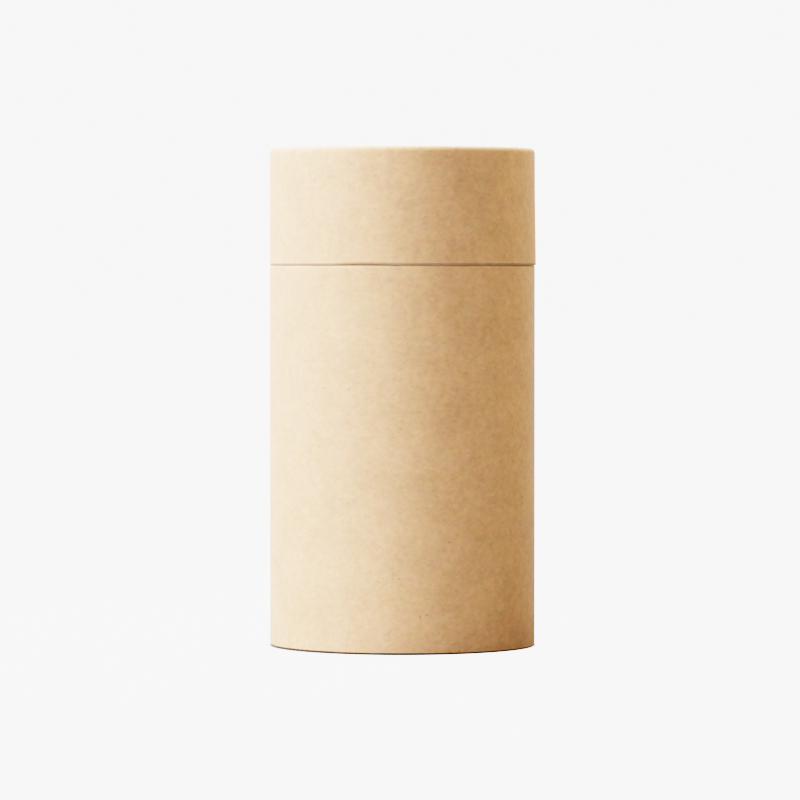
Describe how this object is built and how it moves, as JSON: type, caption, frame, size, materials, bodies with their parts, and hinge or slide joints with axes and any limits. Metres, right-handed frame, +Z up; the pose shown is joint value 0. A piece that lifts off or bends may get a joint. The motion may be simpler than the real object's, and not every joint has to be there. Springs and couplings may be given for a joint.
{
  "type": "paper tea canister",
  "caption": "Plain round kraft-paper canister: a wound body with an inner sleeve whose neck carries a flush pull-off lid, for keeping loose tea dry.",
  "frame": {"origin": "centre of the foot, on the surface that the canister stands on", "axes": "+Z up the canister's axis towards the lid; +X to the right and +Y away from the picture's camera"},
  "size_m": [0.08, 0.08, 0.15],
  "materials": {
    "kraft_outside": "matte",
    "kraft_inside": "matte",
    "kraft_disc": "matte"
  },
  "bodies": {
    "canister": {"body_tube": "kraft_outside", "base_disc": "kraft_disc", "inner_sleeve": "kraft_inside"},
    "lid": {"lid_tube": "kraft_outside", "lid_disc": "kraft_disc"}
  },
  "joints": [
    {"name": "lid_lift", "type": "slide", "parent": "canister", "child": "lid", "axis": [0, 0, 1], "range_m": [0, 0.1]}
  ]
}
